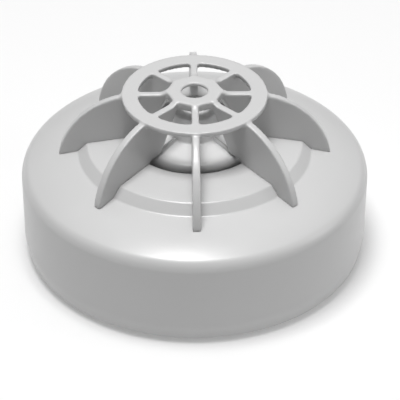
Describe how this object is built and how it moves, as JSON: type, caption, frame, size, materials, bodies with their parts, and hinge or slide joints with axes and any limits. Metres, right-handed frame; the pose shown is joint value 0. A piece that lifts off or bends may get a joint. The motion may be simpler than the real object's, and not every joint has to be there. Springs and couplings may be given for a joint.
{
  "type": "heat detector",
  "caption": "Round ceiling heat detector: open fin cage over a thermistor, twist-lock head with circuit board, and base with screw terminals.",
  "frame": {"origin": "centre of the base's ceiling face", "axes": "+Z along the detector's axis, from the ceiling face towards the fin cage; one fin points along -Y, and the cable entry is on the axis"},
  "size_m": [0.103, 0.103, 0.0529],
  "materials": {
    "cover_white": "satin moulded plastic",
    "base_white": "satin moulded plastic",
    "black_rubber": "matt",
    "brass": "satin",
    "bronze": "satin",
    "steel": "satin zinc plate",
    "board_green": "satin solder mask",
    "chip_black": "satin",
    "can_aluminium": "satin",
    "bead_dark": "gloss coated bead",
    "tinned_wire": "bright tinned"
  },
  "bodies": {
    "base": {"base_plate": "base_white", "wire_grommet": "black_rubber", "contact_strips": "brass", "contact_leaves": "bronze", "contact_rivets": "steel"},
    "clamp_1": {"clamp_plate_1": "steel"},
    "clamp_2": {"clamp_plate_2": "steel"},
    "clamp_3": {"clamp_plate_3": "steel"},
    "clamp_4": {"clamp_plate_4": "steel"},
    "screw_1": {"terminal_screw_1": "steel"},
    "screw_2": {"terminal_screw_2": "steel"},
    "screw_3": {"terminal_screw_3": "steel"},
    "screw_4": {"terminal_screw_4": "steel"},
    "seal": {"seal_ring": "black_rubber"},
    "head": {"chassis": "base_white", "contact_blades": "brass", "blade_rivets": "steel", "board_pins": "brass", "chassis_screws": "steel", "circuit_board": "board_green", "board_screws": "steel", "microcontroller": "chip_black", "bridge_rectifier": "chip_black", "capacitors": "can_aluminium", "inductor": "chip_black", "transistors": "chip_black", "resistors": "chip_black", "reference_thermistor": "bead_dark", "sensor_dome": "cover_white", "dome_gasket": "black_rubber", "dome_screws": "steel", "thermistor": "bead_dark", "thermistor_leads": "tinned_wire", "outer_cover": "cover_white", "sensor_cage": "cover_white"}
  },
  "joints": [
    {"name": "head_lift", "type": "slide", "parent": "base", "child": "seal", "axis": [0, 0, 1], "range_m": [0, 0.04]},
    {"name": "head_twist", "type": "hinge", "parent": "seal", "child": "head", "pos_m": [0, 0, 0.03], "axis": [0, 0, -1], "range_deg": [0, 20]},
    {"name": "clamp_rise_1", "type": "slide", "parent": "base", "child": "clamp_1", "axis": [0, 0, 1], "range_m": [0, 0.003]},
    {"name": "screw_turn_1", "type": "hinge", "parent": "clamp_1", "child": "screw_1", "pos_m": [0.01909, 0.01909, 0.01], "axis": [0, 0, 1], "range_deg": [0, 2161]},
    {"name": "clamp_rise_2", "type": "slide", "parent": "base", "child": "clamp_2", "axis": [0, 0, 1], "range_m": [0, 0.003]},
    {"name": "screw_turn_2", "type": "hinge", "parent": "clamp_2", "child": "screw_2", "pos_m": [-0.01909, 0.01909, 0.01], "axis": [0, 0, 1], "range_deg": [0, 2161]},
    {"name": "clamp_rise_3", "type": "slide", "parent": "base", "child": "clamp_3", "axis": [0, 0, 1], "range_m": [0, 0.003]},
    {"name": "screw_turn_3", "type": "hinge", "parent": "clamp_3", "child": "screw_3", "pos_m": [-0.01909, -0.01909, 0.01], "axis": [0, 0, 1], "range_deg": [0, 2161]},
    {"name": "clamp_rise_4", "type": "slide", "parent": "base", "child": "clamp_4", "axis": [0, 0, 1], "range_m": [0, 0.003]},
    {"name": "screw_turn_4", "type": "hinge", "parent": "clamp_4", "child": "screw_4", "pos_m": [0.01909, -0.01909, 0.01], "axis": [0, 0, 1], "range_deg": [0, 2161]}
  ],
  "couplings": [
    {"joint": "screw_turn_1", "follows": "clamp_rise_1", "rad_per_m": 12566},
    {"joint": "screw_turn_2", "follows": "clamp_rise_2", "rad_per_m": 12566},
    {"joint": "screw_turn_3", "follows": "clamp_rise_3", "rad_per_m": 12566},
    {"joint": "screw_turn_4", "follows": "clamp_rise_4", "rad_per_m": 12566}
  ]
}
